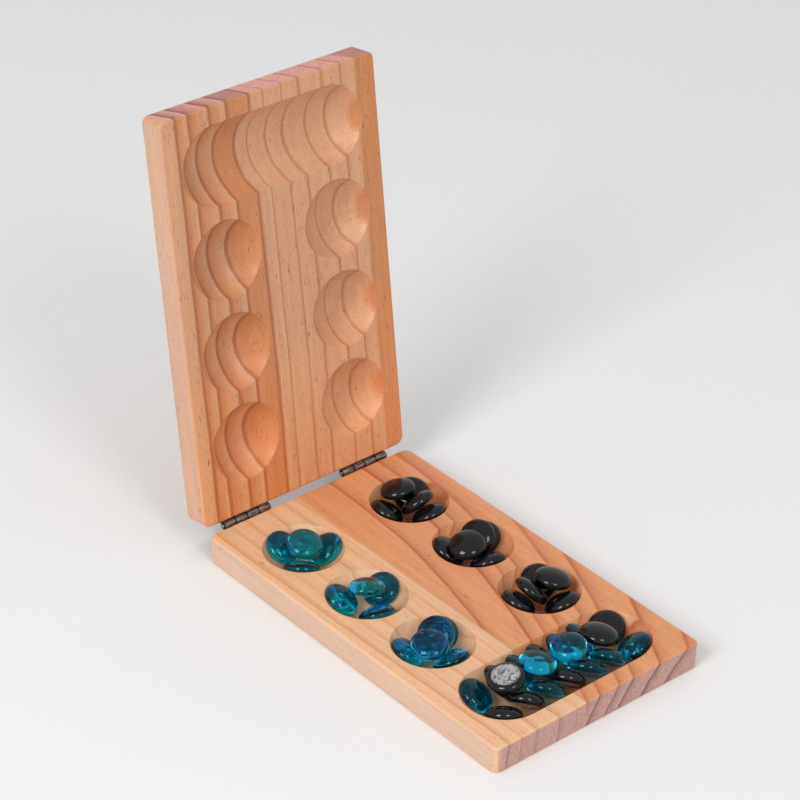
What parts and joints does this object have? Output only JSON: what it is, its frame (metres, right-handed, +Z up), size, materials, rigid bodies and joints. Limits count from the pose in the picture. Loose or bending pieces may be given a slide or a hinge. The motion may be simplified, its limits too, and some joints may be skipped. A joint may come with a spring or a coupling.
{
  "type": "folding mancala board",
  "caption": "Folding wooden mancala board: two hinged halves with round pits and a long store, holding teal and black glass stones.",
  "frame": {"origin": "centre of the base half's underside", "axes": "+X across the board to the right along the hinge line, +Y from the store end of the base towards the hinges and the standing half, +Z up"},
  "size_m": [0.125, 0.2525, 0.2207],
  "materials": {
    "pale_pine": "satin clear varnish",
    "orange_pine": "satin clear varnish",
    "striped_pine": "satin clear varnish",
    "aged_bronze_steel": "bronze plating, worn",
    "screw_steel": "bronze plating",
    "teal_glass": "fire polished",
    "black_glass": "fire polished"
  },
  "bodies": {
    "base": {"base_stave_left": "pale_pine", "base_stave_right": "orange_pine", "left_hinge_base_leaf": "aged_bronze_steel", "left_hinge_pin": "aged_bronze_steel", "right_hinge_base_leaf": "aged_bronze_steel", "right_hinge_pin": "aged_bronze_steel", "base_screws": "screw_steel"},
    "lid": {"lid_panel": "striped_pine", "left_hinge_lid_leaf": "aged_bronze_steel", "right_hinge_lid_leaf": "aged_bronze_steel", "lid_screws": "screw_steel"},
    "teal_stones_pit_1": {"teal_stone_01": "teal_glass", "teal_stone_02": "teal_glass", "teal_stone_03": "teal_glass", "teal_stone_04": "teal_glass"},
    "teal_stones_pit_2": {"teal_stone_05": "teal_glass", "teal_stone_06": "teal_glass", "teal_stone_07": "teal_glass", "teal_stone_08": "teal_glass"},
    "teal_stones_pit_3": {"teal_stone_09": "teal_glass", "teal_stone_10": "teal_glass", "teal_stone_11": "teal_glass", "teal_stone_12": "teal_glass", "teal_stone_13": "teal_glass"},
    "black_stones_pit_4": {"black_stone_01": "black_glass", "black_stone_02": "black_glass", "black_stone_03": "black_glass", "black_stone_04": "black_glass", "black_stone_05": "black_glass"},
    "black_stones_pit_5": {"black_stone_06": "black_glass", "black_stone_07": "black_glass", "black_stone_08": "black_glass", "black_stone_09": "black_glass", "black_stone_10": "black_glass"},
    "black_stones_pit_6": {"black_stone_11": "black_glass", "black_stone_12": "black_glass", "black_stone_13": "black_glass", "black_stone_14": "black_glass", "black_stone_15": "black_glass"},
    "stones_in_store": {"teal_stone_14": "teal_glass", "black_stone_16": "black_glass", "black_stone_17": "black_glass", "teal_stone_15": "teal_glass", "black_stone_18": "black_glass", "teal_stone_16": "teal_glass", "teal_stone_17": "teal_glass", "black_stone_19": "black_glass", "teal_stone_18": "teal_glass", "black_stone_20": "black_glass", "teal_stone_19": "teal_glass", "teal_stone_20": "teal_glass", "teal_stone_21": "teal_glass", "black_stone_21": "black_glass", "black_stone_22": "black_glass", "teal_stone_22": "teal_glass", "teal_stone_23": "teal_glass", "black_stone_23": "black_glass"}
  },
  "joints": [
    {"name": "fold", "type": "hinge", "parent": "base", "child": "lid", "pos_m": [0, 0.1053, 0.0142], "axis": [-1, 0, 0], "range_deg": [-98.2, 81.8]},
    {"name": "lift_teal_stones_pit_1", "type": "slide", "parent": "base", "child": "teal_stones_pit_1", "axis": [0, 0, 1], "range_m": [0, 0.06]},
    {"name": "lift_teal_stones_pit_2", "type": "slide", "parent": "base", "child": "teal_stones_pit_2", "axis": [0, 0, 1], "range_m": [0, 0.06]},
    {"name": "lift_teal_stones_pit_3", "type": "slide", "parent": "base", "child": "teal_stones_pit_3", "axis": [0, 0, 1], "range_m": [0, 0.06]},
    {"name": "lift_black_stones_pit_4", "type": "slide", "parent": "base", "child": "black_stones_pit_4", "axis": [0, 0, 1], "range_m": [0, 0.06]},
    {"name": "lift_black_stones_pit_5", "type": "slide", "parent": "base", "child": "black_stones_pit_5", "axis": [0, 0, 1], "range_m": [0, 0.06]},
    {"name": "lift_black_stones_pit_6", "type": "slide", "parent": "base", "child": "black_stones_pit_6", "axis": [0, 0, 1], "range_m": [0, 0.06]},
    {"name": "lift_stones_in_store", "type": "slide", "parent": "base", "child": "stones_in_store", "axis": [0, 0, 1], "range_m": [0, 0.06]}
  ]
}
